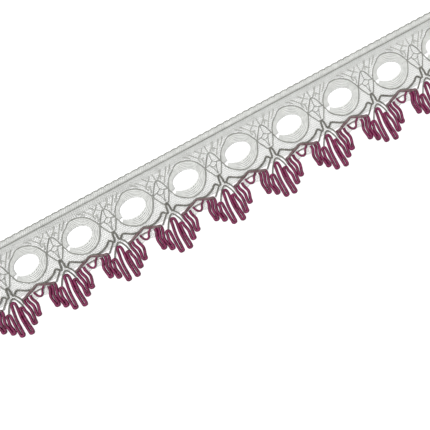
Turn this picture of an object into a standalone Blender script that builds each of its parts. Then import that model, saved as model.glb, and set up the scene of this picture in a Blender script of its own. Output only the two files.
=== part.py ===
"""Eyelet lace trim, a flat cut length of ten repeats.

The trim lies on the XY plane: X runs along it, +Y points to the corded heading and the
burgundy loop fringe points to -Y. Its underside is at z = 0.

Places in the pattern are given as (along, across): along counts repeats, with each eyelet
at a whole number, and across is in millimetres from the eyelet line towards the fringe.
"""
import math
import random
from collections import namedtuple

import bmesh
import bpy
from mathutils import Vector
from mathutils.geometry import delaunay_2d_cdt, intersect_point_line

MM = 0.001

# One row for each eyelet, left to right: the distance to the next eyelet, the eyelet's length
# and height, and how far its long axis turns towards the heading. The knit is stretched a
# little more at the left, as in the photo.
Eyelet = namedtuple("Eyelet", "pitch length height turn_deg")
EYELETS = [
    Eyelet(23.4, 10.9, 7.4, 6.0),
    Eyelet(23.4, 10.9, 7.4, 6.0),
    Eyelet(23.5, 10.8, 7.3, 4.5),
    Eyelet(23.4, 11.2, 7.3, 5.0),
    Eyelet(23.0, 11.0, 7.1, 4.0),
    Eyelet(22.6, 10.8, 7.1, 3.5),
    Eyelet(22.4, 10.6, 7.0, 1.5),
    Eyelet(21.7, 10.2, 6.9, 0.5),
    Eyelet(21.6, 9.9, 6.9, -2.0),
    Eyelet(21.6, 9.9, 6.9, -2.0),
]
MEAN_PITCH = 23.0
FIRST_EYELET = -1
CUT_BEFORE = 0.5        # the cut ends lie half a repeat beyond the end eyelets

# Across the trim, in mm from the eyelet line: minus towards the heading, plus to the fringe
HEADING_EDGE = -13.0
BUMP_HEIGHT = 0.35
BUMPS_PER_REPEAT = 8
BUMP_SHARES = (0.3, 0.7)    # where a bump's flat top starts and ends
HEADING_GROOVE = -10.7
CROWN_FROM_EDGE = 0.9       # the heading's crown starts this far below its edge
CROWN_FROM_GROOVE = 0.5     # and ends this far above its groove
FINGER_TOP = 4.1
FINGER_BASE = 7.8
BAY_EDGE = 10.1
TAB_EDGE = 13.8
TAB_DIP = 0.45

# Thicknesses and heights over the surface, in mm
GROUND = 1.0
HEADING_RISE = 0.35
RING_RISE = 0.3
THREAD_RISE = 0.45
CREST_REACH = 0.02      # a crossing this near a thread's middle line is on its crest
JOIN_REACH = 0.0001     # lines of the relief that are this near each other join
THREAD_WIDTH = 0.7
YARN_END = 0.35         # threads and gimp stop this far inside the cut ends
THREAD_END = 0.95       # the threads stop this far above a finger's middle line
PIECE_GAP = 0.3
GIMP_BOTTOM = GROUND + PIECE_GAP
GIMP_WIDTH = 0.8
GIMP_HEIGHT = 0.7
TOP_SHARE = 0.7         # a gimp's top width over its bottom width
MITRE_LIMIT = 1.35
CORD_WIDTH = 0.95
CORD_TOP_WIDTH = 0.65
CORD_HEIGHT = 1.0

# Rings and the threads that outline them
HOLE_POINTS = 24
HOLE_ABOVE = 0.54           # share of an eyelet's height above its centre
RING_POINTS = 12
RING_HALF_LENGTH = 0.35     # in repeats
RING_SHIFT = 0.025          # ring centre past its eyelet, in repeats
RING_HALF_HEIGHT = 7.3
RING_RAISE = 0.2            # ring centre above its eyelet, in mm
RING_ARC_POINTS = 12
APEX_ALONG = 0.555
APEX_HALF = 0.012
APEX_ACROSS = -5.4
FINGER_ALONG = 0.525
FINGER_HALF = 0.042

# Courses of the tabs and gimps, in mm from an eyelet's or a finger's axis; a finger, its
# shoulders and the tables named side are mirrored about the axis
Spot = namedtuple("Spot", "x across")
TAB = [
    Spot(-2.7, BAY_EDGE),
    Spot(-2.2, TAB_EDGE),
    Spot(-0.8, TAB_EDGE - TAB_DIP),
    Spot(0.6, TAB_EDGE - TAB_DIP),
    Spot(1.9, TAB_EDGE),
    Spot(2.3, BAY_EDGE),
]
FINGER_TURN = 0.45
FINGER_SIDE = [Spot(0.9, 4.8), Spot(1.1, 6.9), Spot(1.5, FINGER_BASE)]
SHOULDER_SIDE = [Spot(2.2, 7.5), Spot(3.0, 6.6), Spot(4.6, 7.3), Spot(7.2, 8.6)]
LOW_ARCH = [Spot(-1.2, 8.3), Spot(0.8, 8.3)]
FAN_TOP = 8.75
FAN_LEFT = [Spot(-3.4, 11.6), Spot(-2.7, 10.2), Spot(-1.5, 9.2), Spot(-0.5, FAN_TOP)]
FAN_RIGHT = [Spot(0.5, FAN_TOP), Spot(1.4, 9.4), Spot(2.0, 10.8), Spot(2.4, 12.6)]

# The fringe: how far below the eyelet line the cord turns, at the tops and at the bottoms of
# its legs, in mm, from left to right
TOP_TURNS = (11.0, 11.1, 14.2, 10.8, 13.9, 11.3, 11.0)
BOTTOM_TURNS = (19.2, 21.1, 23.5, 24.0, 21.6, 19.5)
# Where each leg stands below its top turn, at its middle and above its bottom turn, in mm
# from the finger's axis
Leg = namedtuple("Leg", "shoulder waist foot")
LEGS = [
    Leg(-8.3, -9.4, -9.15),
    Leg(-6.95, -8.0, -7.9),
    Leg(-5.6, -6.7, -6.25),
    Leg(-5.05, -5.4, -5.0),
    Leg(-3.6, -3.6, -3.45),
    Leg(-1.5, -2.15, -2.15),
    Leg(0.25, -0.2, 0.1),
    Leg(1.1, 1.1, 1.45),
    Leg(2.5, 3.05, 2.85),
    Leg(3.75, 4.5, 4.15),
    Leg(5.15, 6.0, 5.7),
    Leg(6.95, 7.75, 7.0),
]
TURN_HALF = 0.52        # half of the flat stretch in each turn
SHOULDER_DROP = 1.4
FOOT_RISE = 1.0
LOOP_SPREAD = 0.14      # uneven loops: the most that a turn strays, in mm
SEED = 7
END_INSET = 0.8         # how far the first half cluster's axis lies inside the cut end
BACKING_TOP = 14.1
BACKING_BOTTOM = 15.8
BACKING_REACH = 0.35    # past the outer legs
BACKING_HEIGHT = 0.6
BACKING_LIFT = 0.05

PICOT_RADIUS = 1.15
PICOT_SIDES = 8
PICOT_SHIFT = -0.5      # from the eyelet's centre
PICOT_ACROSS = 12.0
PICOT_WIDTH = 0.7


def along_mm(along):
    """X of a place along the trim, in mm from the left cut end."""
    first = EYELETS[0].pitch
    x = first * CUT_BEFORE
    place = along - FIRST_EYELET
    if place <= 0.0:
        return x + place * first
    for row in EYELETS:
        step = min(place, 1.0)
        x += step * row.pitch
        place -= step
        if place <= 0.0:
            return x
    return x + place * EYELETS[-1].pitch


LEFT_END = FIRST_EYELET - CUT_BEFORE
RIGHT_END = FIRST_EYELET + len(EYELETS) - 1 + CUT_BEFORE
LENGTH = along_mm(RIGHT_END)
FRINGE_EDGE = max(BOTTOM_TURNS) + CORD_WIDTH / 2
MIDDLE = (HEADING_EDGE + FRINGE_EDGE) / 2


def world(x_mm, across, z_mm=0.0):
    """World place of a point, from mm along the trim, mm across it and mm of height."""
    return Vector(((x_mm - LENGTH / 2) * MM, (MIDDLE - across) * MM, z_mm * MM))


def material(name, colour, roughness):
    """A plain finish for one yarn."""
    made = bpy.data.materials.new(name)
    made.use_nodes = True
    shader = made.node_tree.nodes["Principled BSDF"]
    shader.inputs["Base Color"].default_value = (*colour, 1.0)
    shader.inputs["Roughness"].default_value = roughness
    shader.inputs["Metallic"].default_value = 0.0
    return made


def add_object(name, bm, finish, parent):
    """Put a finished bmesh in the scene as one named piece."""
    bmesh.ops.recalc_face_normals(bm, faces=bm.faces)
    mesh = bpy.data.meshes.new(name)
    bm.to_mesh(mesh)
    bm.free()
    piece = bpy.data.objects.new(name, mesh)
    mesh.materials.append(finish)
    bpy.context.scene.collection.objects.link(piece)
    piece.parent = parent
    return piece


# Lace band

def hole_outline(index):
    """One eyelet's edge as (x_mm, across) points: an oval, fuller towards the heading."""
    row = EYELETS[index]
    turn = math.radians(row.turn_deg)
    centre = along_mm(FIRST_EYELET + index)
    points = []
    for step in range(HOLE_POINTS):
        angle = 2 * math.pi * step / HOLE_POINTS
        x = row.length / 2 * math.cos(angle)
        rise = HOLE_ABOVE if math.sin(angle) > 0 else 1.0 - HOLE_ABOVE
        y = row.height * rise * math.sin(angle)
        points.append((centre + x * math.cos(turn) - y * math.sin(turn),
                       -(x * math.sin(turn) + y * math.cos(turn))))
    return points


def ring_profile(share):
    """Half height of a ring's outline at a share of its half length, from -1 to 1."""
    round_part = math.sqrt(max(0.0, 1.0 - share * share))
    pointed_part = math.cos(math.pi / 2 * share)
    return RING_HALF_HEIGHT * (round_part + pointed_part) / 2


def ring_arc(index, side):
    """The outline thread over (side -1) or under (side 1) one ring, left to right."""
    centre = FIRST_EYELET + index + RING_SHIFT
    points = []
    for step in range(RING_ARC_POINTS + 1):
        share = math.cos(math.pi * (1.0 - step / RING_ARC_POINTS))
        along = centre + RING_HALF_LENGTH * share
        points.append((along_mm(along), side * ring_profile(share) - RING_RAISE))
    return points


def outline_thread(side):
    """One thread over its whole length: side -1 runs over the rings, 1 under them."""
    if side < 0:
        centre, half, across = FINGER_ALONG, FINGER_HALF, FINGER_TOP - THREAD_END
    else:
        centre, half, across = APEX_ALONG, APEX_HALF, APEX_ACROSS
    points = []
    for index in range(len(EYELETS)):
        left = FIRST_EYELET + index - 1
        for along in (left + centre - half, left + centre + half):
            points.append((along_mm(along), across))
        points += ring_arc(index, side)
    points.append((along_mm(RIGHT_END), across))
    return [point for point in points if YARN_END < point[0] < LENGTH - YARN_END]


def ring_middle(index):
    """The crown of a ring, halfway between the eyelet's edge and the outline threads."""
    centre = FIRST_EYELET + index + RING_SHIFT
    half = RING_HALF_LENGTH * EYELETS[index].pitch
    hole = hole_outline(index)
    points = []
    for step in range(RING_POINTS):
        edge_x, edge_across = hole[step * HOLE_POINTS // RING_POINTS]
        angle = math.atan2(edge_across, edge_x - along_mm(centre))
        reach = 1.0 / math.hypot(math.cos(angle) / half, math.sin(angle) / RING_HALF_HEIGHT)
        outer_x = along_mm(centre) + reach * math.cos(angle)
        outer_across = reach * math.sin(angle)
        points.append(((edge_x + outer_x) / 2, (edge_across + outer_across) / 2))
    return points


def offset(points, distance, closed=False):
    """Points moved sideways from a path by a distance, with mitred corners."""
    moved = []
    count = len(points)
    for index, point in enumerate(points):
        here = Vector(point)
        before = Vector(points[index - 1]) if closed or index > 0 else None
        after = Vector(points[(index + 1) % count]) if closed or index < count - 1 else None
        incoming = (here - before).normalized() if before else (after - here).normalized()
        outgoing = (after - here).normalized() if after else incoming
        bisector = incoming + outgoing
        bisector.normalize()
        normal = Vector((-bisector.y, bisector.x))
        stretch = 1.0 / max(1.0 / MITRE_LIMIT, bisector.dot(incoming))
        moved.append(here + normal * distance * stretch)
    return [(point.x, point.y) for point in moved]


def heading_edge():
    """The bumpy edge of the heading, from the right cut end to the left."""
    bumps = BUMPS_PER_REPEAT * len(EYELETS)
    points = []
    for index in range(bumps):
        right = along_mm(RIGHT_END - index / BUMPS_PER_REPEAT)
        left = along_mm(RIGHT_END - (index + 1) / BUMPS_PER_REPEAT)
        points.append((right, HEADING_EDGE + BUMP_HEIGHT))
        for share in BUMP_SHARES:
            points.append((right + share * (left - right), HEADING_EDGE))
    points.append((0.0, HEADING_EDGE + BUMP_HEIGHT))
    return points


def lower_edge():
    """The lower edge, left to right: a bay over each cluster and a tab between clusters."""
    points = [(0.0, BAY_EDGE)]
    for index in range(len(EYELETS)):
        centre = along_mm(FIRST_EYELET + index)
        points += [(centre + spot.x, spot.across) for spot in TAB]
    points.append((LENGTH, BAY_EDGE))
    return points


def inside(point, outline):
    """Whether a point lies inside a closed outline."""
    x, y = point
    found = False
    for index, (x1, y1) in enumerate(outline):
        x0, y0 = outline[index - 1]
        if (y0 > y) != (y1 > y) and x < (x1 - x0) * (y - y0) / (y1 - y0) + x0:
            found = not found
    return found


class Relief:
    """Points and lines of the band's upper face, each point with its own height."""

    def __init__(self):
        self.points = []
        self.heights = []
        self.edges = []
        self.crests = []

    def line(self, points, height, closed=False):
        """Add a path whose points all stand at one height."""
        start = len(self.points)
        self.points += [Vector(point) for point in points]
        self.heights += [height] * len(points)
        last = len(self.points) - 1
        self.edges += [(index, index + 1) for index in range(start, last)]
        if closed:
            self.edges.append((last, start))

    def ridge(self, points, height):
        """Add a thread as a ridge: a crest with a foot line on each side."""
        self.line(points, height)
        self.crests += list(zip(points, points[1:]))
        for side in (-1, 1):
            self.line(offset(points, side * THREAD_WIDTH / 2), GROUND)

    def crossing_height(self, point):
        """Height where lines cross: a thread's crest, or else the ground."""
        for start, end in self.crests:
            nearest, share = intersect_point_line(point, start, end)
            if 0.0 <= share <= 1.0 and (nearest - point).length < CREST_REACH:
                return GROUND + THREAD_RISE
        return GROUND

    def build(self, outline, holes):
        """Fill the relief between the outline and the holes and return it as a bmesh."""
        found = delaunay_2d_cdt(self.points, self.edges, [], 0, JOIN_REACH)
        vertices, faces, sources = found[0], found[2], found[3]
        bm = bmesh.new()
        made = []
        for vertex, source in zip(vertices, sources):
            if source:
                height = max(self.heights[index] for index in source)
            else:
                height = self.crossing_height(vertex)
            made.append(bm.verts.new(world(vertex.x, vertex.y, height)))
        for face in faces:
            centre = sum((vertices[index] for index in face), Vector((0.0, 0.0))) / len(face)
            if not inside(centre, outline):
                continue
            if any(inside(centre, hole) for hole in holes):
                continue
            bm.faces.new([made[index] for index in face])
        bmesh.ops.delete(bm, geom=[v for v in bm.verts if not v.link_faces], context="VERTS")
        return bm


def lace_band(finish, parent):
    """The lace ground with its heading, rings, outline threads and cut-through eyelets."""
    outline = lower_edge() + heading_edge()
    holes = [hole_outline(index) for index in range(len(EYELETS))]
    relief = Relief()
    relief.line(outline, GROUND, closed=True)
    for index, hole in enumerate(holes):
        relief.line(hole, GROUND, closed=True)
        relief.line(ring_middle(index), GROUND + RING_RISE, closed=True)
    crown = GROUND + HEADING_RISE
    rows = [(HEADING_EDGE + CROWN_FROM_EDGE, crown),
            (HEADING_GROOVE - CROWN_FROM_GROOVE, crown),
            (HEADING_GROOVE, GROUND)]
    for across, height in rows:
        relief.line([(0.0, across), (LENGTH, across)], height)
    for side in (-1, 1):
        relief.ridge(outline_thread(side), GROUND + THREAD_RISE)
    bm = relief.build(outline, holes)
    rim = [edge for edge in bm.edges if edge.is_boundary]
    lowered = bmesh.ops.extrude_edge_only(bm, edges=rim)["geom"]
    for element in lowered:
        if isinstance(element, bmesh.types.BMVert):
            element.co.z = 0.0
    base = [element for element in lowered if isinstance(element, bmesh.types.BMEdge)]
    bmesh.ops.triangle_fill(bm, use_beauty=True, use_dissolve=False, edges=base)
    return add_object("lace_band", bm, finish, parent)


# Cords and gimps

def strand(name, path, widths, heights, finish, parent, closed=False):
    """A laid cord of four sides along (x_mm, across) points.

    widths are its bottom and top widths and heights are the levels of its two faces, in mm.
    """
    bm = bmesh.new()
    rows = []
    for width, height in zip(widths, heights):
        for side in (-1, 1):
            edge = offset(path, side * width / 2, closed)
            rows.append([bm.verts.new(world(x, across, height)) for x, across in edge])
    low_left, low_right, top_left, top_right = rows
    around = [low_left, low_right, top_right, top_left]
    count = len(path)
    for index in range(count if closed else count - 1):
        after = (index + 1) % count
        for side in range(4):
            first, second = around[side], around[(side + 1) % 4]
            bm.faces.new([first[index], second[index], second[after], first[after]])
    if not closed:
        for end in (0, count - 1):
            bm.faces.new([row[end] for row in around])
    return add_object(name, bm, finish, parent)


def gimp_path():
    """The grey gimp over its whole length: finger, shoulder, low arch, shoulder, finger."""
    side = FINGER_SIDE + SHOULDER_SIDE
    points = [(YARN_END, FINGER_TOP)]
    for index in range(len(EYELETS) + 1):
        middle = FIRST_EYELET + index - 1 + FINGER_ALONG
        axis = along_mm(middle)
        if index > 0:
            points += [(axis - spot.x, spot.across) for spot in reversed(side)]
            if index < len(EYELETS):
                points.append((axis - FINGER_TURN, FINGER_TOP))
        if index < len(EYELETS):
            if index > 0:
                points.append((axis + FINGER_TURN, FINGER_TOP))
            points += [(axis + spot.x, spot.across) for spot in side]
            arch = along_mm(FIRST_EYELET + index)
            points += [(arch + spot.x, spot.across) for spot in LOW_ARCH]
    points = [(x, across) for x, across in points if x < LENGTH - YARN_END]
    points.append((LENGTH - YARN_END, FINGER_TOP))
    return points


def fan_path(part):
    """The small grey arch under a finger: both sides (0), or only one at a cut end."""
    middle = Spot(0.0, FAN_TOP)
    if part > 0:
        return [middle] + FAN_RIGHT
    if part < 0:
        return FAN_LEFT + [middle]
    return FAN_LEFT + FAN_RIGHT


def cluster_path(part, uneven):
    """The zigzag of one cluster: all its legs (0), the right half (1) or the left half (-1)."""
    half = len(LEGS) // 2
    legs = {0: range(len(LEGS)), 1: range(half, len(LEGS)), -1: range(half)}[part]
    top_strays = [(uneven(), uneven()) for turn in TOP_TURNS]
    bottom_strays = [(uneven(), 2 * uneven()) for turn in BOTTOM_TURNS]
    points = []
    for index in legs:
        leg = LEGS[index]
        top_x, top_y = top_strays[(index + 1) // 2]
        bottom_x, bottom_y = bottom_strays[index // 2]
        top = TOP_TURNS[(index + 1) // 2] + top_y
        bottom = BOTTOM_TURNS[index // 2] + bottom_y
        shoulder = (leg.shoulder + top_x, top + SHOULDER_DROP)
        waist = (leg.waist + (top_x + bottom_x) / 2, (top + bottom) / 2)
        foot = (leg.foot + bottom_x, bottom - FOOT_RISE)
        down = index % 2 == 0
        side = 1 if down else -1
        above = LEGS[index - side] if 0 <= index - side < len(LEGS) else leg
        below = LEGS[index + side]
        crest = (leg.shoulder + above.shoulder) / 2 + top_x + side * TURN_HALF
        sole = (leg.foot + below.foot) / 2 + bottom_x - side * TURN_HALF
        stretch = [(crest, top), shoulder, waist, foot, (sole, bottom)]
        if index - side not in legs:
            stretch[0] = (leg.shoulder + top_x, top)
        points += stretch if down else stretch[::-1]
    return points


def fringe_cluster(name, path, finish, parent):
    """One cluster of burgundy loops, fused to the narrow backing bar under its tops."""
    cord = strand(name, path, (CORD_WIDTH, CORD_TOP_WIDTH), (0.0, CORD_HEIGHT), finish, parent)
    xs = [x for x, across in path if across < BACKING_BOTTOM]
    middle = (BACKING_TOP + BACKING_BOTTOM) / 2
    bar_path = [(min(xs) - BACKING_REACH, middle), (max(xs) + BACKING_REACH, middle)]
    depth = BACKING_BOTTOM - BACKING_TOP
    bar = strand(name + "_bar", bar_path, (depth, depth),
                 (BACKING_LIFT, BACKING_HEIGHT), finish, parent)
    bar.hide_render = True
    bar.display_type = "WIRE"
    fuse = cord.modifiers.new("fuse", "BOOLEAN")
    fuse.operation = "UNION"
    fuse.solver = "EXACT"
    fuse.object = bar
    return cord


def picot(name, centre, finish, parent):
    """A small burgundy ring lying on a tab."""
    path = []
    for step in range(PICOT_SIDES):
        angle = 2 * math.pi * step / PICOT_SIDES
        path.append((centre + PICOT_SHIFT + PICOT_RADIUS * math.cos(angle),
                     PICOT_ACROSS + PICOT_RADIUS * math.sin(angle)))
    widths = (PICOT_WIDTH, PICOT_WIDTH * TOP_SHARE)
    levels = (GROUND + PIECE_GAP, GROUND + PIECE_GAP + PICOT_WIDTH)
    return strand(name, path, widths, levels, finish, parent, True)


def main():
    """Build the trim."""
    for old in list(bpy.data.objects):
        bpy.data.objects.remove(old, do_unlink=True)
    lace = material("lace_yarn", (0.66, 0.67, 0.63), 0.75)
    grey = material("grey_gimp", (0.22, 0.22, 0.20), 0.55)
    burgundy = material("burgundy_cord", (0.20, 0.03, 0.10), 0.5)
    trim = bpy.data.objects.new("trim", None)
    bpy.context.scene.collection.objects.link(trim)
    source = random.Random(SEED)

    def uneven():
        return source.uniform(-LOOP_SPREAD, LOOP_SPREAD)

    lace_band(lace, trim)
    levels = (GIMP_BOTTOM, GIMP_BOTTOM + GIMP_HEIGHT)
    widths = (GIMP_WIDTH, GIMP_WIDTH * TOP_SHARE)
    strand("gimp_cord", gimp_path(), widths, levels, grey, trim)
    fan_levels = (CORD_HEIGHT + PIECE_GAP, CORD_HEIGHT + PIECE_GAP + GIMP_HEIGHT)
    clusters = len(EYELETS) + 1
    for index in range(clusters):
        part = 1 if index == 0 else (-1 if index == clusters - 1 else 0)
        axis = max(END_INSET, along_mm(FIRST_EYELET - 1 + index + FINGER_ALONG))
        scale = EYELETS[min(index, len(EYELETS) - 1)].pitch / MEAN_PITCH
        fan = [(min(axis + x * scale, LENGTH), across) for x, across in fan_path(part)]
        strand("gimp_fan_%02d" % index, fan, widths, fan_levels, grey, trim)
        path = [(axis + x * scale, across) for x, across in cluster_path(part, uneven)]
        fringe_cluster("fringe_%02d" % index, path, burgundy, trim)
    for index in range(len(EYELETS)):
        picot("picot_%02d" % index, along_mm(FIRST_EYELET + index), burgundy, trim)


main()
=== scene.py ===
"""Looks of a flat cut length of eyelet lace trim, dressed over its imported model.

The trim is made here the way it is knitted: fine pillar stitches and inlays for the ground,
a ribbed heading, sewn rings round the eyelets, outline threads, plied grey gimp and
wound burgundy cord. Every yarn is a line with a thickness, so it is swept along its own course
with a bevelled curve and then made a mesh.

Places in the pattern are millimetres: x runs along the trim from its left cut end, across runs
from the eyelet line towards the fringe, and z is the height over the table.
"""
import logging
import math
import random
from bisect import bisect_right
from collections.abc import Callable, Iterable, Sequence
from dataclasses import dataclass, field
from enum import Enum
from typing import NamedTuple

import bmesh
import bpy
from mathutils import Matrix, Vector

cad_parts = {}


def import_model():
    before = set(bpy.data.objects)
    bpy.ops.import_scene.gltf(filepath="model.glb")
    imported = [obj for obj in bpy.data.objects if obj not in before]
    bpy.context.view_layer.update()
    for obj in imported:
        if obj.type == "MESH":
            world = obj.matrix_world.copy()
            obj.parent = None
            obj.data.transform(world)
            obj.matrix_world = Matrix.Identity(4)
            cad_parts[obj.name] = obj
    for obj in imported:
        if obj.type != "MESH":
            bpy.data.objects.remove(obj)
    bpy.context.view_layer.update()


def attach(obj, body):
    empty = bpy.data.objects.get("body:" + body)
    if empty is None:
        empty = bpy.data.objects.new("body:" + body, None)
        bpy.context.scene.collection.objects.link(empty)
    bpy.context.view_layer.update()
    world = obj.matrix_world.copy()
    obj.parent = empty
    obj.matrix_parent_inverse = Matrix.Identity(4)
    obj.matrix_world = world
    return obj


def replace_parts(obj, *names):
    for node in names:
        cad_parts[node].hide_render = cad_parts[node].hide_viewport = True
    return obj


log = logging.getLogger("lace_trim")

MM = 0.001
BODY = "root"


class Eyelet(NamedTuple):
    """One eyelet: distance to the next, length, height and turn towards the heading."""

    pitch: float
    length: float
    height: float
    turn_deg: float


class Spot(NamedTuple):
    """A point of a yarn's course: mm from an axis, and mm below the eyelet line."""

    x: float
    across: float


class Leg(NamedTuple):
    """One leg of the fringe: mm from the finger's axis at its top, middle and bottom."""

    shoulder: float
    waist: float
    foot: float


EYELETS = [
    Eyelet(23.4, 10.9, 7.4, 6.0),
    Eyelet(23.4, 10.9, 7.4, 6.0),
    Eyelet(23.5, 10.8, 7.3, 4.5),
    Eyelet(23.4, 11.2, 7.3, 5.0),
    Eyelet(23.0, 11.0, 7.1, 4.0),
    Eyelet(22.6, 10.8, 7.1, 3.5),
    Eyelet(22.4, 10.6, 7.0, 1.5),
    Eyelet(21.7, 10.2, 6.9, 0.5),
    Eyelet(21.6, 9.9, 6.9, -2.0),
    Eyelet(21.6, 9.9, 6.9, -2.0),
]
MEAN_PITCH = 23.0
FIRST_EYELET = -1
CUT_BEFORE = 0.5
HOLE_ABOVE = 0.54

HEADING_EDGE = -13.0
BUMP_HEIGHT = 0.35
BUMPS_PER_REPEAT = 8
HEADING_GROOVE = -10.7
BAY_EDGE = 10.1
TAB_EDGE = 13.8
YARN_END = 0.35
CORD_RADIUS = 0.6
FRINGE_EDGE = 24.475

FINGER_ALONG = 0.525

# Courses in mm from an eyelet's centre, scaled with the pitch: the ring's outline over and
# under the eyelet, what joins it to the diamonds on both sides, the tab's edge and the low arch
RING_TOP = [Spot(-7.25, 0.0), Spot(-6.7, -1.4), Spot(-6.0, -2.7), Spot(-5.1, -3.9),
            Spot(-4.1, -4.8), Spot(-3.2, -5.4), Spot(-2.4, -6.0), Spot(-1.7, -6.65),
            Spot(-0.9, -7.05), Spot(0.3, -7.25), Spot(1.7, -7.2), Spot(3.1, -6.85),
            Spot(4.6, -6.2), Spot(6.1, -5.1), Spot(7.2, -3.9), Spot(8.1, -2.3), Spot(8.95, -0.45)]
RING_BOTTOM = [Spot(-7.25, 0.0), Spot(-6.7, 1.6), Spot(-6.2, 3.0), Spot(-5.4, 4.1),
               Spot(-4.3, 5.1), Spot(-3.2, 5.9), Spot(-2.0, 6.6), Spot(-0.5, 7.05),
               Spot(1.0, 7.1), Spot(3.0, 6.7), Spot(4.6, 5.9), Spot(6.2, 4.6), Spot(7.3, 3.1),
               Spot(8.0, 1.8), Spot(8.5, 0.7), Spot(8.95, -0.45)]
FINGER_LINE = [Spot(-9.5, 4.2), Spot(-8.9, 3.1), Spot(-8.1, 1.8)]
TO_FINGER = [Spot(9.5, 1.0), Spot(10.2, 2.2), Spot(10.8, 3.3), Spot(11.3, 4.2)]
APEX_LINE = [Spot(-10.05, -5.2), Spot(-9.4, -4.95), Spot(-8.8, -4.2), Spot(-8.2, -3.0),
             Spot(-7.8, -1.7)]
TO_APEX = [Spot(9.8, -1.5), Spot(10.5, -2.6), Spot(11.5, -3.9), Spot(12.3, -4.95)]
TAB = [Spot(-4.2, BAY_EDGE), Spot(-3.5, TAB_EDGE), Spot(-1.5, 13.4), Spot(1.0, 13.6),
       Spot(2.5, TAB_EDGE), Spot(3.6, BAY_EDGE)]
LOW_ARCH = [Spot(-2.0, 9.05), Spot(-0.5, 8.6), Spot(0.4, 8.4), Spot(1.6, 8.75), Spot(3.2, 9.2)]

# The gimp's way over one finger, in mm from the finger's axis
FINGER = [Spot(-7.1, 9.05), Spot(-5.6, 8.55), Spot(-4.2, 7.8), Spot(-3.3, 6.95),
          Spot(-2.7, 6.75), Spot(-2.1, 7.2), Spot(-1.6, 7.9), Spot(-1.1, 8.1),
          Spot(-0.7, 7.4), Spot(-0.55, 6.4), Spot(-0.4, 5.3), Spot(-0.1, 4.6), Spot(0.22, 4.4),
          Spot(0.6, 4.6), Spot(0.75, 5.3), Spot(0.9, 6.4), Spot(0.85, 7.4), Spot(1.2, 8.1),
          Spot(1.7, 7.95), Spot(2.4, 7.3), Spot(3.2, 6.8), Spot(4.1, 7.2), Spot(5.9, 8.3),
          Spot(7.1, 8.9)]

TOP_TURNS = (11.0, 11.1, 14.2, 10.8, 13.9, 11.3, 11.0)
BOTTOM_TURNS = (19.2, 21.1, 23.5, 24.0, 21.6, 19.5)
LEGS = [
    Leg(-8.3, -9.4, -9.15),
    Leg(-6.95, -8.0, -7.9),
    Leg(-5.6, -6.7, -6.25),
    Leg(-5.05, -5.4, -5.0),
    Leg(-3.6, -3.6, -3.45),
    Leg(-1.5, -2.15, -2.15),
    Leg(0.25, -0.2, 0.1),
    Leg(1.1, 1.1, 1.45),
    Leg(2.5, 3.05, 2.85),
    Leg(3.75, 4.5, 4.15),
    Leg(5.15, 6.0, 5.7),
    Leg(6.95, 7.75, 7.0),
]
TURN_HALF = 0.52
SHOULDER_DROP = 1.4
FOOT_RISE = 1.0
LOOP_SPREAD = 0.14
SEED = 7
END_INSET = 0.8

Point = tuple[float, float, float]
Course = list[Point]


def along_mm(along: float) -> float:
    """Turn a place in repeats into mm from the left cut end.

    Args:
        along: Place in repeats, with each eyelet at a whole number.

    Returns:
        The distance from the left cut end in mm.
    """
    first = EYELETS[0].pitch
    x = first * CUT_BEFORE
    place = along - FIRST_EYELET
    if place <= 0.0:
        return x + place * first
    for row in EYELETS:
        step = min(place, 1.0)
        x += step * row.pitch
        place -= step
        if place <= 0.0:
            return x
    return x + place * EYELETS[-1].pitch


RIGHT_END = FIRST_EYELET + len(EYELETS) - 1 + CUT_BEFORE
LENGTH = along_mm(RIGHT_END)
MIDDLE = (HEADING_EDGE + FRINGE_EDGE) / 2
CENTRES = [along_mm(FIRST_EYELET + index) for index in range(len(EYELETS))]
BORDERS = [along_mm(FIRST_EYELET + index + 0.5) for index in range(len(EYELETS) - 1)]


def world(point: Point) -> Vector:
    """World place in metres of a point in mm along, across and up."""
    x, across, z = point
    return Vector(((x - LENGTH / 2) * MM, (MIDDLE - across) * MM, z * MM))


def pitch_scale(index: int, side: float) -> float:
    """How long the half repeat on one side of an eyelet is, as a share of the mean."""
    row = EYELETS[index] if side >= 0 else EYELETS[max(0, index - 1)]
    return row.pitch / MEAN_PITCH


def local_mm(index: int, x: float) -> float:
    """X in mm from the cut end of a place given in mean mm from an eyelet's centre."""
    return CENTRES[index] + x * pitch_scale(index, x)


def repeat_at(x: float) -> tuple[int, float]:
    """Find the eyelet nearest to a place.

    Args:
        x: Distance from the left cut end in mm.

    Returns:
        The eyelet's index and the distance from its centre, scaled to the mean pitch.
    """
    index = bisect_right(BORDERS, x)
    gap = x - CENTRES[index]
    return index, gap / pitch_scale(index, gap)


def axis_mm(cluster: int) -> float:
    """X in mm of the finger over one fringe cluster, counted from the left cut end."""
    return along_mm(FIRST_EYELET - 1 + cluster + FINGER_ALONG)


def hole_edge(index: int, angle: float, grow: float = 0.0) -> tuple[float, float]:
    """Find a point on an eyelet's edge.

    Args:
        index: Which eyelet.
        angle: Angle round the eyelet in radians, turning towards the heading.
        grow: How far outside the edge, in mm.

    Returns:
        The point's x and across in mm.
    """
    row = EYELETS[index]
    turn = math.radians(row.turn_deg)
    share = HOLE_ABOVE if math.sin(angle) > 0 else 1.0 - HOLE_ABOVE
    x = (row.length / 2 + grow) * math.cos(angle)
    y = (row.height * share + grow) * math.sin(angle)
    return (CENTRES[index] + x * math.cos(turn) - y * math.sin(turn),
            -(x * math.sin(turn) + y * math.cos(turn)))


def between(line: Sequence[Spot], x: float) -> float:
    """How far across a line runs at a place along it."""
    for before, after in zip(line, line[1:]):
        if x <= after.x:
            share = (x - before.x) / (after.x - before.x)
            return before.across + share * (after.across - before.across)
    return line[-1].across


def in_ring(local: float, across: float) -> bool:
    """Whether a place, as mm from an eyelet, lies inside the ring's outline."""
    if not RING_TOP[0].x < local < RING_TOP[-1].x:
        return False
    return between(RING_TOP, local) < across < between(RING_BOTTOM, local)


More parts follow.
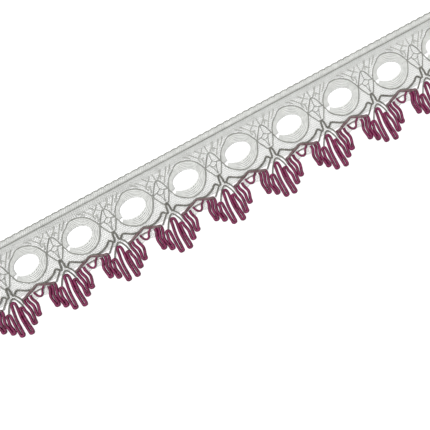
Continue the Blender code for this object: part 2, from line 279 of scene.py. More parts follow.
def lower_edge(local: float) -> float:
    """The lace's lower edge, in mm across, at a distance from an eyelet's centre."""
    return between(TAB, local) if TAB[0].x < local < TAB[-1].x else BAY_EDGE


def smooth(course: Course, step: float, closed: bool = False) -> Course:
    """Sample a smooth line through the points of a course.

    Args:
        course: The points that the line runs through.
        step: Distance between samples in mm.
        closed: Whether the line returns to its first point.

    Returns:
        The sampled course.
    """
    points = [Vector(point) for point in course]
    count = len(points)
    if count < 3:
        return course
    sampled: Course = []
    for index in range(count if closed else count - 1):
        start, end = points[index], points[(index + 1) % count]
        before = points[index - 1] if closed or index > 0 else start
        after = points[(index + 2) % count] if closed or index + 2 < count else end
        chord = (end - start).length
        lead = (end - before) * chord / (chord + (start - before).length)
        trail = (after - start) * chord / (chord + (after - end).length)
        steps = max(1, round(chord / step))
        for part in range(steps):
            t = part / steps
            sampled.append(tuple(start + (3 * t ** 2 - 2 * t ** 3) * (end - start)
                                 + (t ** 3 - 2 * t ** 2 + t) * lead + (t ** 3 - t ** 2) * trail))
    if not closed:
        sampled.append(tuple(points[-1]))
    return sampled


def plied(course: Course, plies: int, lay: float, turn_mm: float) -> list[Course]:
    """Twist several yarns round a flat-lying course.

    Args:
        course: The middle line of the plied yarn.
        plies: How many yarns.
        lay: Distance of each yarn's middle from the middle line, in mm.
        turn_mm: Length of one full turn in mm.

    Returns:
        One course for each yarn.
    """
    yarns: list[Course] = [[] for _ in range(plies)]
    travelled = 0.0
    last = len(course) - 1
    for index, point in enumerate(course):
        before = Vector(course[max(0, index - 1)])
        after = Vector(course[min(last, index + 1)])
        if index:
            travelled += (Vector(point) - before).length
        run = after - before
        side = Vector((-run.y, run.x, 0.0)).normalized()
        for ply in range(plies):
            angle = 2 * math.pi * (travelled / turn_mm + ply / plies)
            shift = side * math.cos(angle) * lay
            yarns[ply].append((point[0] + shift.x, point[1] + shift.y,
                               point[2] + math.sin(angle) * lay))
    return yarns


def runs(points: Iterable[Point], keep: Callable[[float, float], bool]) -> list[Course]:
    """Split a course into the stretches whose points are kept.

    Args:
        points: The points of the course.
        keep: Test of a point's x and across.

    Returns:
        Every kept stretch of two or more points.
    """
    found: list[Course] = []
    current: Course = []
    for point in points:
        if keep(point[0], point[1]):
            current.append(point)
        elif current:
            found.append(current)
            current = []
    found.append(current)
    return [stretch for stretch in found if len(stretch) > 1]


class Section(Enum):
    """How many sides a yarn's section has, as a curve's bevel resolution."""

    FOUR = 0
    SIX = 1
    EIGHT = 2


# Finishes

def linear(code: str) -> tuple[float, float, float, float]:
    """Turn an sRGB hex colour into linear values with full opacity."""
    values = [int(code[place:place + 2], 16) / 255 for place in (1, 3, 5)]
    turned = [v / 12.92 if v <= 0.04045 else ((v + 0.055) / 1.055) ** 2.4 for v in values]
    return (turned[0], turned[1], turned[2], 1.0)


def add_node(tree: bpy.types.NodeTree, kind: str, settings: dict | None = None,
             links: dict | None = None) -> bpy.types.Node:
    """Add a node with its settings and links.

    Args:
        tree: The node tree.
        kind: The node's type name.
        settings: Values by property name, or by input name or number.
        links: Output sockets by input name or number.

    Returns:
        The new node.
    """
    node = tree.nodes.new(kind)
    for key, value in (settings or {}).items():
        if isinstance(key, str) and hasattr(node, key):
            setattr(node, key, value)
        else:
            node.inputs[key].default_value = value
    for key, socket in (links or {}).items():
        tree.links.new(socket, node.inputs[key])
    return node


@dataclass(frozen=True)
class YarnFinish:
    """The look of one yarn.

    The colour drifts between two tones along the yarn, and fine fibres show as a bump.
    """

    name: str
    slot: str
    light: str
    dark: str
    roughness: float
    sheen: float
    drift_mm: float
    fibre_mm: float
    fibre_depth: float
    gloss: float = 0.5

    def material(self) -> bpy.types.Material:
        """Build the yarn's material once and return it."""
        made = bpy.data.materials.get(self.name)
        if made:
            return made
        made = bpy.data.materials.new(self.name)
        made.use_nodes = True
        tree = made.node_tree
        shader = tree.nodes["Principled BSDF"]
        place = add_node(tree, "ShaderNodeTexCoord").outputs["Object"]
        drift = add_node(tree, "ShaderNodeTexNoise",
                         {"Scale": 1.0 / (self.drift_mm * MM), "Detail": 3.0, "Roughness": 0.6},
                         {"Vector": place})
        tone = add_node(tree, "ShaderNodeValToRGB", {}, {"Fac": drift.outputs["Fac"]})
        tone.color_ramp.elements[0].position = 0.36
        tone.color_ramp.elements[0].color = linear(self.dark)
        tone.color_ramp.elements[1].position = 0.64
        tone.color_ramp.elements[1].color = linear(self.light)
        fibres = add_node(tree, "ShaderNodeTexNoise",
                          {"Scale": 1.0 / (self.fibre_mm * MM), "Detail": 2.0},
                          {"Vector": place})
        bump = add_node(tree, "ShaderNodeBump",
                        {"Strength": self.fibre_depth, "Distance": self.fibre_mm * MM},
                        {"Height": fibres.outputs["Fac"]})
        tree.links.new(tone.outputs["Color"], shader.inputs["Base Color"])
        tree.links.new(bump.outputs["Normal"], shader.inputs["Normal"])
        shader.inputs["Roughness"].default_value = self.roughness
        shader.inputs["Sheen Weight"].default_value = self.sheen
        shader.inputs["Sheen Roughness"].default_value = 0.4
        shader.inputs["IOR"].default_value = 1.5
        shader.inputs["Specular IOR Level"].default_value = self.gloss
        return made


# Soft spun nylon of the knitted ground: a matt silver white with hardly any gloss
GROUND_YARN = YarnFinish("spun_nylon_ground", "lace_yarn", "#DFE0DD", "#D3D4D1",
                         0.62, 0.05, 3.0, 0.12, 0.3)
# The same yarn packed close in the heading and the rings, a shade greyer in its grooves
RIB_YARN = YarnFinish("spun_nylon_ribs", "lace_yarn", "#E1E2DF", "#D3D4D1",
                      0.6, 0.05, 1.6, 0.12, 0.3)
# Thicker yarn of the lattice over the rings: a shade greyer than the ground it crosses
LATTICE_YARN = YarnFinish("loose_nylon_lattice", "lace_yarn", "#BDBEB9", "#A9AAA5",
                          0.6, 0.05, 1.6, 0.12, 0.3)
# Firmer thread that draws the rings and diamonds: mid grey with a slight gloss. On the heading's
# edge thread and groove thread its darker grey is painted shade.
OUTLINE_AND_PAINTED_SHADE_YARN = YarnFinish("twisted_nylon_outline_and_painted_shade", "lace_yarn", "#9A9B95", "#82837D",
                          0.5, 0.05, 1.8, 0.12, 0.25)
# Plied rayon gimp: warm grey, its plies catching the light
GREY_GIMP = YarnFinish("plied_rayon_gimp", "grey_gimp", "#7C7B74", "#5D5C56",
                       0.45, 0.05, 1.4, 0.1, 0.25)
# Gimp plied with burgundy ends where it runs from one cluster to the next: a brownish grey
MIXED_GIMP = YarnFinish("mixed_rayon_gimp", "grey_gimp", "#7E686A", "#573C41",
                        0.45, 0.05, 1.0, 0.1, 0.25)
# Rayon wound over a core: wine red with a violet gloss on its crowns
BURGUNDY_CORD = YarnFinish("wound_rayon_cord", "burgundy_cord", "#7E1F50", "#4F0A2C",
                           0.45, 0.0, 1.2, 0.1, 0.35, 0.3)


@dataclass
class YarnWork:
    """Gathers the yarns of one piece and sweeps them into one mesh."""

    name: str
    finish: YarnFinish
    section: Section = Section.FOUR
    yarns: list[tuple[Course, Sequence[float], bool]] = field(default_factory=list)

    def lay(self, course: Course, radius: float | Sequence[float], closed: bool = False) -> None:
        """Add a yarn.

        Args:
            course: Its middle line.
            radius: Its radius in mm, or one radius for each point.
            closed: Whether it returns to its first point.
        """
        radii = [radius] * len(course) if isinstance(radius, float) else radius
        self.yarns.append((course, radii, closed))

    def finish_piece(self) -> bpy.types.Object:
        """Sweep every yarn and return the finished piece, riding on the trim."""
        curve = bpy.data.curves.new(self.name, "CURVE")
        curve.dimensions = "3D"
        curve.bevel_depth = MM
        curve.bevel_resolution = self.section.value
        curve.use_fill_caps = True
        for course, radii, closed in self.yarns:
            spline = curve.splines.new("POLY")
            spline.points.add(len(course) - 1)
            flat = [value for point in course for value in (*world(point), 1.0)]
            spline.points.foreach_set("co", flat)
            spline.points.foreach_set("radius", radii)
            spline.use_cyclic_u = closed
            spline.use_smooth = True
        swept = bpy.data.objects.new(self.name + "_sweep", curve)
        bpy.context.scene.collection.objects.link(swept)
        graph = bpy.context.evaluated_depsgraph_get()
        mesh = bpy.data.meshes.new_from_object(swept.evaluated_get(graph))
        bpy.data.objects.remove(swept)
        bpy.data.curves.remove(curve)
        return dress(self.name, mesh, self.finish)


def dress(name: str, mesh: bpy.types.Mesh, finish: YarnFinish) -> bpy.types.Object:
    """Close a mesh, shade it, give it its finish and let it ride on the trim.

    Args:
        name: The piece's name.
        mesh: Its mesh, in world metres.
        finish: Its yarn finish.

    Returns:
        The piece's object.
    """
    bm = bmesh.new()
    bm.from_mesh(mesh)
    bmesh.ops.remove_doubles(bm, verts=bm.verts, dist=1e-7)
    bmesh.ops.recalc_face_normals(bm, faces=bm.faces)
    bm.to_mesh(mesh)
    bm.free()
    mesh.name = name
    mesh.materials.clear()
    mesh.materials.append(finish.material())
    mesh.shade_smooth()
    piece = bpy.data.objects.new(name, mesh)
    bpy.context.scene.collection.objects.link(piece)
    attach(piece, BODY)
    mesh.calc_loop_triangles()
    log.info("%s: %d triangles", name, len(mesh.loop_triangles))
    return piece


# Threads of the lattice over the rings, in mm from an eyelet's centre
LATTICE = [
    [Spot(5.4, -8.3), Spot(6.2, -7.5), Spot(7.3, -6.3), Spot(8.4, -5.2), Spot(9.3, -4.4),
     Spot(10.3, -4.2)],
    [Spot(8.3, -8.4), Spot(9.3, -7.3), Spot(10.3, -6.4), Spot(11.8, -5.4)],
    [Spot(8.4, -5.2), Spot(9.4, -5.9), Spot(10.4, -6.7), Spot(11.4, -8.0)],
    [Spot(12.7, -8.3), Spot(12.7, -7.3), Spot(12.9, -5.6)],
    [Spot(13.7, -5.4), Spot(14.6, -6.2), Spot(15.4, -7.0), Spot(16.4, -8.4)],
    [Spot(-8.2, -6.7), Spot(-7.0, -5.6), Spot(-6.1, -4.9)],
    [Spot(9.3, -4.4), Spot(9.6, -3.3), Spot(9.2, -1.9)],
    [Spot(8.3, -5.2), Spot(8.3, -4.3), Spot(8.7, -3.2)],
    [Spot(-4.2, -8.3), Spot(-5.3, -6.6), Spot(-6.6, -4.8), Spot(-7.6, -3.0)],
    [Spot(-7.2, -8.4), Spot(-7.6, -7.2), Spot(-7.8, -6.2), Spot(-8.2, -5.0)],
    [Spot(-2.4, -8.4), Spot(-3.6, -6.8), Spot(-5.0, -5.4)],
    [Spot(3.2, -8.4), Spot(4.4, -7.6), Spot(5.6, -6.6)],
]


@dataclass
class Ground:
    """The knitted ground: pillar stitches along the trim and fine inlays between them."""

    pitch: float = 0.72
    stitch: float = 0.62
    pillar_radius: float = 0.12
    inlay_radius: float = 0.085
    fill_stitch: float = 0.465
    fill_radius: float = 0.17
    lattice_radius: float = 0.15
    rim_radius: float = 0.12
    z: float = 0.5
    wander: float = 0.06
    band_edge: float = -8.3
    fill_wave: float = 0.17
    fill_lift: float = 0.16
    rim_inset: float = 0.15
    lattice_lift: float = 0.3
    lattice_lay: float = 0.12
    lattice_turn_mm: float = 1.6
    picot_middle: Spot = Spot(-0.4, 11.8)
    picot_clear: float = 0.75

    def covers(self, x: float, across: float) -> bool:
        """Whether the ground covers a place."""
        if not YARN_END <= x <= LENGTH - YARN_END:
            return False
        local = repeat_at(x)[1]
        if across > lower_edge(local) - 0.1 or in_ring(local, across):
            return False
        return math.hypot(local - self.picot_middle.x,
                          across - self.picot_middle.across) > self.picot_clear

    def columns(self, step: float, start: float = 0.0) -> list[float]:
        """The x in mm of every stitch of a row, from end to end."""
        count = int((LENGTH - 2 * YARN_END - start) / step) + 1
        return [YARN_END + start + index * step for index in range(count)]

    def net(self, work: YarnWork) -> None:
        """Lay the pillars and inlays of the whole ground."""
        rows = int((TAB_EDGE - HEADING_GROOVE) / self.pitch) + 1
        xs = self.columns(self.stitch)
        for row in range(rows):
            across = HEADING_GROOVE + 0.2 + row * self.pitch
            pillar = [(x, across + self.wander * (-1) ** number, self.z + 0.05 * (-1) ** number)
                      for number, x in enumerate(xs)]
            for stretch in runs(pillar, self.covers):
                work.lay(stretch, self.pillar_radius)
            inlay = [(x, across + (self.pitch if (number + row) % 2 else 0.0),
                      self.z - 0.1 + 0.12 * (number % 2))
                     for number, x in enumerate(xs)]
            for stretch in runs(inlay, self.covers):
                work.lay(stretch, self.inlay_radius)

    def band(self, work: YarnWork) -> None:
        """Lay the close stitches of the band under the heading."""
        rows = int((self.band_edge - HEADING_GROOVE) / self.fill_stitch)
        xs = self.columns(self.fill_stitch, self.fill_stitch / 2)
        for row in range(rows):
            across = HEADING_GROOVE + 0.6 + row * self.fill_stitch
            line = [(x, across + self.fill_wave * (-1) ** (number + row),
                     self.z + self.fill_lift + 0.07 * (number % 2))
                    for number, x in enumerate(xs)]
            for stretch in runs(line, self.covers):
                work.lay(stretch, self.fill_radius)

    def edges(self, work: YarnWork) -> None:
        """Lay a yarn along the edge of every tab."""
        for index in range(len(EYELETS)):
            edge = [(local_mm(index, spot.x), spot.across - self.rim_inset, self.z)
                    for spot in TAB]
            work.lay(smooth(edge, 0.4), self.rim_radius)

    def lattice(self) -> YarnWork:
        """Lay the lattice over the rings, two yarns to a thread."""
        work = YarnWork("lattice_threads", LATTICE_YARN)
        for index in range(len(EYELETS)):
            for spots in LATTICE:
                line = smooth([(local_mm(index, spot.x), spot.across, self.z + self.lattice_lift)
                               for spot in spots], 0.3)
                for stretch in runs(line, self.covers):
                    for yarn in plied(stretch, 2, self.lattice_lay, self.lattice_turn_mm):
                        work.lay(yarn, self.lattice_radius)
        return work

    def knit(self) -> YarnWork:
        """Knit the whole ground as one cloth."""
        work = YarnWork("lace_ground", GROUND_YARN)
        self.net(work)
        self.band(work)
        self.edges(work)
        return work


@dataclass
class Heading:
    """The ribbed heading: slanted ribs, pillar rows on them and a bumpy edge thread."""

    rib_pitch: float = 0.93
    rib_radius: float = 0.29
    slant: float = 0.7
    base: float = 0.72
    crown: float = 0.18
    under: float = 0.24
    rows: tuple[float, ...] = (-12.3, -11.75, -11.2)
    row_radius: float = 0.11
    row_wave: float = 0.16
    row_lift: float = 0.2
    edge_z: float = 1.0
    edge_radius: float = 0.14
    groove_step: float = 0.5
    groove_radius: float = 0.12

    def ribs(self) -> YarnWork:
        """Two layers of slanted ribs from the edge to the groove."""
        work = YarnWork("heading_ribs", RIB_YARN)
        top, bottom = HEADING_EDGE + 0.2, HEADING_GROOVE + 0.05
        count = int((LENGTH - 2 * YARN_END - self.slant) / self.rib_pitch)
        for number in range(count):
            for lift, shift in ((0.0, 0.1), (-self.under, 0.1 + self.rib_pitch / 2)):
                start = YARN_END + number * self.rib_pitch + shift
                course = []
                for part in range(5):
                    share = part / 4
                    swell = math.sin(math.pi * share)
                    course.append((start + self.slant * (1 - share), top + share * (bottom - top),
                                   self.base + lift + self.crown * swell))
                work.lay(course, self.rib_radius)
        return work

    def pillars(self) -> YarnWork:
        """Rows of stitches along the crown that dot the ribs."""
        work = YarnWork("heading_stitches", RIB_YARN)
        step = self.rib_pitch / 2
        count = int((LENGTH - 2 * YARN_END) / step)
        for row, across in enumerate(self.rows):
            crown = self.base + self.crown + self.row_lift
            course = [(YARN_END + number * step, across + self.row_wave * (-1) ** number,
                       crown + 0.1 * (-1) ** (number + row)) for number in range(count)]
            work.lay(course, self.row_radius)
        return work

    def edges(self) -> YarnWork:
        """The bumpy edge thread and the thread that lies in the groove, both in the darker
        outline grey as painted shade along the edge and in the groove.
        """
        work = YarnWork("heading_edges_painted_shade", OUTLINE_AND_PAINTED_SHADE_YARN)
        course = []
        bumps = BUMPS_PER_REPEAT * len(EYELETS)
        for number in range(bumps * 4 + 1):
            x = along_mm(RIGHT_END - (bumps - number / 4) / BUMPS_PER_REPEAT)
            x = min(max(x, YARN_END), LENGTH - YARN_END)
            swell = abs(math.sin(math.pi * number / 4)) ** 0.6
            course.append((x, HEADING_EDGE + 0.1 + BUMP_HEIGHT * (1 - swell) * 0.8, self.edge_z))
        for yarn in plied(smooth(course, 0.35), 2, 0.12, 1.5):
            work.lay(yarn, self.edge_radius)
        groove = [(YARN_END + number * self.groove_step, HEADING_GROOVE + 0.25, self.edge_z)
                  for number in range(int((LENGTH - 2 * YARN_END) / self.groove_step))]
        for yarn in plied(groove, 2, 0.1, 2.0):
            work.lay(yarn, self.groove_radius)
        return work


@dataclass
class Ring:
    """The sewn ring round one eyelet: oval ribs with two rows of cross stitches.

    At the lower left the ring has a slit, through which the eyelet opens to the outline.
    """

    index: int
    steps: int = 72
    ribs: tuple[float, ...] = (0.05, 0.24, 0.43, 0.62, 0.81, 0.97)
    fullness: float = 0.47
    stitch_radius: float = 0.13
    stitches: int = 46
    stitch_lift: float = 0.2
    stitch_rows: tuple[tuple[float, float], ...] = ((0.0, 0.4), (0.46, 0.92))
    low: float = 0.6
    crown: float = 0.3
    grow: float = 0.17
    blunt: float = 0.5
    teeth: int = 30
    tooth: float = 0.04
    rib_tooth: float = 0.012
    slit_start_deg: float = 191.0
    slit_end_deg: float = 207.0
    slit_spread_deg: float = 9.0

    def outer(self, x: float, across: float) -> tuple[float, float]:
        """The ring's outline straight outside a point of the eyelet's edge."""
        middle = CENTRES[self.index]
        reach = math.hypot(x - middle, across)
        low, high = 1.0, 10.0 / reach
        for _ in range(16):
            share = (low + high) / 2
            gap = (x - middle) * share
            inner = in_ring(gap / pitch_scale(self.index, gap), across * share)
            low, high = (share, high) if inner else (low, share)
        return middle + (x - middle) * low, across * low

    def place(self, angle: float, share: float) -> tuple[Point, float]:
        """A point at a share of the way from the eyelet's edge to the outline, and that way's
        length in mm."""
        grow = self.grow - self.blunt * math.exp(-((angle - math.pi) / 0.45) ** 2)
        x, across = hole_edge(self.index, angle, grow)
        out_x, out_across = self.outer(x, across)
        z = self.low + self.crown * math.sin(math.pi * (0.15 + 0.75 * share))
        return ((x + share * (out_x - x), across + share * (out_across - across), z),
                math.hypot(out_x - x, out_across - across))

    def angles(self, share: float, steps: int) -> list[float]:
        """Evenly spaced angles from one side of the slit round to the other."""
        start = math.radians(self.slit_end_deg + self.slit_spread_deg * share - 360.0)
        end = math.radians(self.slit_start_deg)
        return [start + (end - start) * step / steps for step in range(steps + 1)]

    def sew(self) -> YarnWork:
        """Lay the ribs and the cross stitches."""
        work = YarnWork(f"ring_{self.index:02d}", RIB_YARN)
        for number, share in enumerate(self.ribs):
            tooth = self.tooth if number == 0 else self.rib_tooth
            course, radii = [], []
            for step, angle in enumerate(self.angles(share, self.steps)):
                wave = tooth * (-1) ** (step * self.teeth * 2 // self.steps)
                point, width = self.place(angle, share + wave)
                course.append(point)
                radii.append(self.fullness * width / (len(self.ribs) - 1))
            work.lay(course, radii)
        for inner, outer in self.stitch_rows:
            course = []
            for step, angle in enumerate(self.angles(inner, 2 * self.stitches)):
                point, _ = self.place(angle, outer if step % 2 else inner)
                course.append((point[0], point[1], point[2] + self.stitch_lift))
            work.lay(course, self.stitch_radius)
        return work


class Side(Enum):
    """Which way an outline thread runs past the rings."""

    OVER = -1
    UNDER = 1


@dataclass
class OutlineThread:
    """A thread that draws the rings and diamonds over the whole length."""

    side: Side
    z: float = 1.08
    lay: float = 0.12
    radius: float = 0.15
    turn_mm: float = 1.3

    def course(self) -> Course:
        """The thread's middle line from cut end to cut end."""
        lines = {Side.OVER: FINGER_LINE + RING_TOP + TO_FINGER,
                 Side.UNDER: APEX_LINE + RING_BOTTOM + TO_APEX}
        points = [(local_mm(index, spot.x), spot.across, self.z)
                  for index in range(len(EYELETS)) for spot in lines[self.side]]
        return [point for point in points if YARN_END < point[0] < LENGTH - YARN_END]

    def draw(self) -> YarnWork:
        """Lay the thread's two plies."""
        work = YarnWork(f"outline_{self.side.name.lower()}", OUTLINE_AND_PAINTED_SHADE_YARN)
        line = smooth(self.course(), 0.3)
        for yarn in plied(line, 2, self.lay, self.turn_mm):
            work.lay(yarn, self.radius)
        return work


@dataclass
class Diamond:
    """Fine threads inside one diamond between two rings, in mm from the finger's axis."""

    cluster: int
    z: float = 0.9
    radius: float = 0.12
    shift: float = 0.25
    threads: tuple[tuple[Spot, ...], ...] = (
        (Spot(-6.0, -0.2), Spot(-4.9, -0.3), Spot(-3.2, -0.5), Spot(-1.8, -0.7),
         Spot(-1.2, -0.8), Spot(-0.6, -1.2), Spot(0.1, -1.6), Spot(0.7, -1.6), Spot(1.3, -1.1),
         Spot(1.9, -0.8), Spot(2.7, -0.7), Spot(3.5, -0.4)),
        (Spot(0.5, -4.9), Spot(0.3, -3.2), Spot(0.35, -1.6)),
        (Spot(-1.3, -0.7), Spot(-1.0, 0.1), Spot(-0.4, 1.0), Spot(-0.1, 2.2), Spot(0.15, 3.6)),
        (Spot(1.8, -0.7), Spot(1.2, 0.3), Spot(0.8, 1.2), Spot(0.5, 2.2), Spot(0.35, 3.6)),
        (Spot(-0.9, 0.0), Spot(0.1, 0.55), Spot(1.1, 0.1)),
    )

    def draw(self) -> YarnWork:
        """Lay the diamond's threads, cut off where the trim ends."""
        work = YarnWork(f"diamond_{self.cluster:02d}", OUTLINE_AND_PAINTED_SHADE_YARN)
        axis = axis_mm(self.cluster)
        scale = EYELETS[min(self.cluster, len(EYELETS) - 1)].pitch / MEAN_PITCH
        for thread in self.threads:
            course = [(axis + (spot.x + self.shift) * scale, spot.across, self.z)
                      for spot in thread]
            line = smooth(course, 0.4)
            for stretch in runs(line, lambda x, _: YARN_END < x < LENGTH - YARN_END):
                work.lay(stretch, self.radius)
        return work


@dataclass
class Gimp:
    """The plied grey gimp: finger, shoulder, low arch, shoulder, finger, and so on."""

    z: float = 1.42
    lay: float = 0.2
    radius: float = 0.23
    turn_mm: float = 1.5

    def course(self) -> Course:
        """The gimp's middle line from cut end to cut end."""
        points = []
        for index in range(len(EYELETS) + 1):
            axis = axis_mm(index)
            points += [(axis + spot.x, spot.across, self.z) for spot in FINGER]
            if index < len(EYELETS):
                points += [(local_mm(index, spot.x), spot.across, self.z) for spot in LOW_ARCH]
        return [point for point in points if YARN_END < point[0] < LENGTH - YARN_END]

    def draw(self) -> YarnWork:
        """Lay the gimp's two plies."""
        work = YarnWork("grey_gimp", GREY_GIMP, Section.SIX)
        for yarn in plied(smooth(self.course(), 0.25), 2, self.lay, self.turn_mm):
            work.lay(yarn, self.radius)
        return work


class Part(Enum):
    """How much of a cluster stands at a place: the cut ends halve one."""

    WHOLE = 0
    RIGHT = 1
    LEFT = -1


def part_of(cluster: int) -> Part:
    """Which part of a cluster there is, from left to right along the trim."""
    if cluster == 0:
        return Part.RIGHT
    return Part.LEFT if cluster == len(EYELETS) else Part.WHOLE


@dataclass
class Fan:
    """Grey strands that spread from under a finger into the cords."""

    cluster: int
    z: float = 1.45
    lay: float = 0.14
    radius: float = 0.18
    turn_mm: float = 1.2
    strands: tuple[tuple[Spot, ...], ...] = (
        (Spot(-3.8, 13.6), Spot(-3.1, 12.4), Spot(-2.1, 10.9), Spot(-0.9, 9.6), Spot(0.2, 8.9),
         Spot(0.8, 9.3), Spot(1.5, 10.4), Spot(2.1, 11.8), Spot(2.5, 13.4)),
        (Spot(-4.9, 11.2), Spot(-3.2, 9.6), Spot(-1.9, 8.3), Spot(-1.2, 7.9)),
        (Spot(1.2, 7.9), Spot(2.3, 9.2), Spot(3.0, 10.6), Spot(3.3, 11.7), Spot(3.4, 13.0)),
    )

    def draw(self) -> YarnWork:
        """Lay the strands, cut off at the finger's axis where the cluster is a half one."""
        work = YarnWork(f"gimp_strands_{self.cluster:02d}", GREY_GIMP, Section.SIX)
        part = part_of(self.cluster)
        axis = max(END_INSET, axis_mm(self.cluster))
        scale = EYELETS[min(self.cluster, len(EYELETS) - 1)].pitch / MEAN_PITCH

        def stands(x: float, _: float) -> bool:
            """Whether a place belongs to the part of the cluster that is there."""
            if part is Part.RIGHT:
                return x >= axis and x > YARN_END
            if part is Part.LEFT:
                return x <= axis and x < LENGTH - YARN_END
            return True

        for strand in self.strands:
            course = [(axis + spot.x * scale, spot.across, self.z) for spot in strand]
            for stretch in runs(smooth(course, 0.25), stands):
                for yarn in plied(stretch, 2, self.lay, self.turn_mm):
                    work.lay(yarn, self.radius)
        return work


def wound(course: Course, radius: float, wrap_mm: float, depth: float) -> list[float]:
    """Radii of a cord that is wound with fine thread.

    Args:
        course: The cord's middle line.
        radius: Its radius in mm.
        wrap_mm: Distance between the wraps.
        depth: How deep the grooves between the wraps are, in mm.

    Returns:
        One radius for each point.
    """
    travelled = 0.0
    radii = []
    for index, point in enumerate(course):
        if index:
            travelled += (Vector(point) - Vector(course[index - 1])).length
        wave = 0.5 + 0.5 * math.cos(2 * math.pi * travelled / wrap_mm)
        radii.append(radius - depth * (1.0 - wave))
    return radii


@dataclass
class Cluster:
    """One cluster of burgundy loops: a single cord laid up and down in twelve legs."""

    number: int
    uneven: Callable[[], float]
    radius: float = CORD_RADIUS
    z: float = 0.62
    wrap_mm: float = 0.42
    wrap_depth: float = 0.045

    def spots(self) -> list[Spot]:
        """The cord's turns and legs, in mm from the finger's axis."""
        part = part_of(self.number)
        half = len(LEGS) // 2
        legs = {Part.WHOLE: range(len(LEGS)), Part.RIGHT: range(half, len(LEGS)),
                Part.LEFT: range(half)}[part]
        top_strays = [(self.uneven(), self.uneven()) for _ in TOP_TURNS]
        bottom_strays = [(self.uneven(), 2 * self.uneven()) for _ in BOTTOM_TURNS]
        points: list[Spot] = []
        for index in legs:
            leg = LEGS[index]
            top_x, top_y = top_strays[(index + 1) // 2]
            bottom_x, bottom_y = bottom_strays[index // 2]
            top = TOP_TURNS[(index + 1) // 2] + top_y
            bottom = BOTTOM_TURNS[index // 2] + bottom_y
            side = 1 if index % 2 == 0 else -1
            above = LEGS[index - side] if 0 <= index - side < len(LEGS) else leg
            below = LEGS[index + side]
            crest = (leg.shoulder + above.shoulder) / 2 + top_x + side * TURN_HALF
            sole = (leg.foot + below.foot) / 2 + bottom_x - side * TURN_HALF
            if index - side not in legs:
                crest = leg.shoulder + top_x
            stretch = [
                Spot(crest, top),
                Spot(leg.shoulder + top_x, top + SHOULDER_DROP),
                Spot(leg.waist + (top_x + bottom_x) / 2, (top + bottom) / 2),
                Spot(leg.foot + bottom_x, bottom - FOOT_RISE),
                Spot(sole, bottom),
            ]
            points += stretch if side > 0 else stretch[::-1]
        return points

    def draw(self) -> YarnWork:
        """Lay the cord."""
        work = YarnWork(f"loops_{self.number:02d}", BURGUNDY_CORD, Section.EIGHT)
        axis = max(END_INSET, axis_mm(self.number))
        scale = EYELETS[min(self.number, len(EYELETS) - 1)].pitch / MEAN_PITCH
        course = [(axis + spot.x * scale, spot.across, self.z) for spot in self.spots()]
        line = smooth(course, 0.14)
        work.lay(line, wound(line, self.radius, self.wrap_mm, self.wrap_depth))
        return work


@dataclass
class Picot:
    """A small burgundy loop that hangs on a tab between two clusters."""

    index: int
    radius: float = 0.43
    wrap_mm: float = 0.42
    wrap_depth: float = 0.03
    z: float = 1.2
    loop: tuple[Spot, ...] = (Spot(-2.3, 10.5), Spot(-2.0, 11.6), Spot(-1.4, 12.7),
                              Spot(-0.4, 13.2), Spot(0.5, 12.7), Spot(0.95, 11.7),
                              Spot(1.6, 10.8), Spot(2.4, 10.2))

    def draw(self) -> YarnWork:
        """Lay the loop."""
        work = YarnWork(f"picot_loop_{self.index:02d}", BURGUNDY_CORD, Section.SIX)
        centre = CENTRES[self.index]
        course = smooth([(centre + spot.x, spot.across, self.z) for spot in self.loop], 0.2)
        work.lay(course, wound(course, self.radius, self.wrap_mm, self.wrap_depth))
        return work


@dataclass
class Carrier:
    """The brownish gimp that runs over a tab from one cluster to the next."""

    index: int
    radius: float = 0.3
    lay: float = 0.28
    catch_radius: float = 0.13
    catch_lay: float = 0.08
    turn_mm: float = 2.2
    z: float = 1.25
    arch: tuple[Spot, ...] = (Spot(-7.2, 11.2), Spot(-6.0, 10.9), Spot(-4.6, 10.3),
                              Spot(-3.2, 9.8), Spot(-2.0, 9.4), Spot(-0.9, 8.9), Spot(0.3, 8.6),
                              Spot(1.3, 9.0), Spot(2.4, 9.6), Spot(3.8, 10.2), Spot(5.2, 10.7),
                              Spot(6.6, 11.2))
    catch: tuple[Spot, ...] = (Spot(-2.4, 10.9), Spot(0.1, 10.7), Spot(2.2, 11.1))

    def draw(self) -> YarnWork:
        """Lay the arch and the thin thread under it."""
        work = YarnWork(f"carrier_{self.index:02d}", MIXED_GIMP, Section.SIX)
        centre = CENTRES[self.index]
        scale = EYELETS[self.index].pitch / MEAN_PITCH
        for spots, plies, lay, radius in ((self.arch, 3, self.lay, self.radius),
                                          (self.catch, 2, self.catch_lay,
                                           self.catch_radius)):
            line = smooth([(centre + spot.x * scale, spot.across, self.z) for spot in spots],
                          0.25)
            for yarn in plied(line, plies, lay, self.turn_mm):
                work.lay(yarn, radius)
        return work


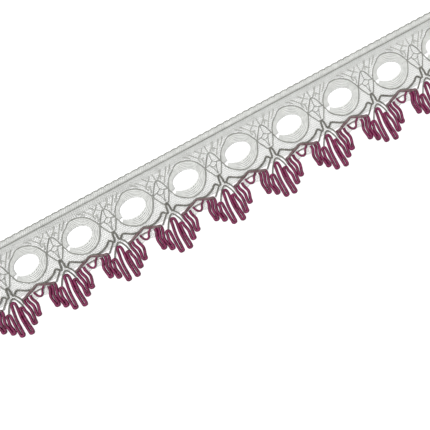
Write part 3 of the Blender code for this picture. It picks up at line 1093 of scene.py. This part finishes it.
@dataclass
class Studio:
    """Pale floor, soft light and the camera straight over the trim."""

    view_middle: tuple[float, float] = (-0.00454, -0.01161)
    view_width: float = 0.1676
    turn_deg: float = -28.13
    height: float = 0.6
    surround: float = 0.35
    overhead: float = 3.1
    spread_deg: float = 15.0
    towards: tuple[float, float, float] = (-0.12, 0.12, 1.0)

    def floor(self) -> None:
        """A white table top."""
        bm = bmesh.new()
        bmesh.ops.create_grid(bm, x_segments=2, y_segments=2, size=3.0)
        mesh = bpy.data.meshes.new("table_top")
        bm.to_mesh(mesh)
        bm.free()
        finish = bpy.data.materials.new("white_laminate")
        finish.use_nodes = True
        shader = finish.node_tree.nodes["Principled BSDF"]
        shader.inputs["Base Color"].default_value = linear("#F7F7F7")
        shader.inputs["Roughness"].default_value = 0.9
        shader.inputs["Specular IOR Level"].default_value = 0.0
        mesh.materials.append(finish)
        top = bpy.data.objects.new("table_top", mesh)
        top.location.z = -0.0001
        bpy.context.scene.collection.objects.link(top)

    def light(self) -> None:
        """A dim white surround and one broad light almost straight overhead."""
        surround = bpy.data.worlds.new("white_surround")
        bpy.context.scene.world = surround
        surround.use_nodes = True
        background = surround.node_tree.nodes["Background"]
        background.inputs["Color"].default_value = (1.0, 1.0, 1.0, 1.0)
        background.inputs["Strength"].default_value = self.surround
        lamp = bpy.data.lights.new("overhead", "SUN")
        lamp.energy = self.overhead
        lamp.angle = math.radians(self.spread_deg)
        sun = bpy.data.objects.new("overhead", lamp)
        bpy.context.scene.collection.objects.link(sun)
        sun.rotation_mode = "QUATERNION"
        sun.rotation_quaternion = Vector(self.towards).to_track_quat("Z", "Y")

    def camera(self) -> None:
        """The camera over the table, turned so that the trim runs up to the right."""
        lens = bpy.data.cameras.new("camera")
        lens.sensor_width = 36.0
        lens.lens = 36.0 * self.height / self.view_width
        lens.clip_end = 50.0
        eye = bpy.data.objects.new("camera", lens)
        bpy.context.scene.collection.objects.link(eye)
        turn = Matrix.Rotation(math.radians(self.turn_deg), 4, "Z")
        eye.matrix_world = Matrix.Translation((*self.view_middle, self.height)) @ turn
        bpy.context.scene.camera = eye
        bpy.context.scene.view_settings.view_transform = "Standard"


def main() -> None:
    """Build every piece in order and dress the scene."""
    logging.basicConfig(level=logging.INFO, format="%(message)s")
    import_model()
    studio = Studio()
    studio.floor()
    studio.light()
    studio.camera()
    source = random.Random(SEED)

    def uneven() -> float:
        """One stray of a turn, in mm."""
        return source.uniform(-LOOP_SPREAD, LOOP_SPREAD)

    ground = Ground()
    net = ground.knit().finish_piece()
    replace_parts(net, "lace_band")
    heading = Heading()
    others = [work.finish_piece() for work in (ground.lattice(), heading.ribs(),
                                               heading.pillars(), heading.edges())]
    others += [Ring(index).sew().finish_piece() for index in range(len(EYELETS))]
    others += [OutlineThread(side).draw().finish_piece() for side in Side]
    others += [Diamond(cluster).draw().finish_piece() for cluster in range(len(EYELETS) + 1)]
    gimp = Gimp().draw().finish_piece()
    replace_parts(gimp, "gimp_cord")
    for cluster in range(len(EYELETS) + 1):
        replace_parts(Fan(cluster).draw().finish_piece(), f"gimp_fan_{cluster:02d}")
        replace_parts(Cluster(cluster, uneven).draw().finish_piece(), f"fringe_{cluster:02d}")
    for index in range(len(EYELETS)):
        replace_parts(Picot(index).draw().finish_piece(), f"picot_{index:02d}")
        Carrier(index).draw().finish_piece()


if __name__ == "__main__":
    main()
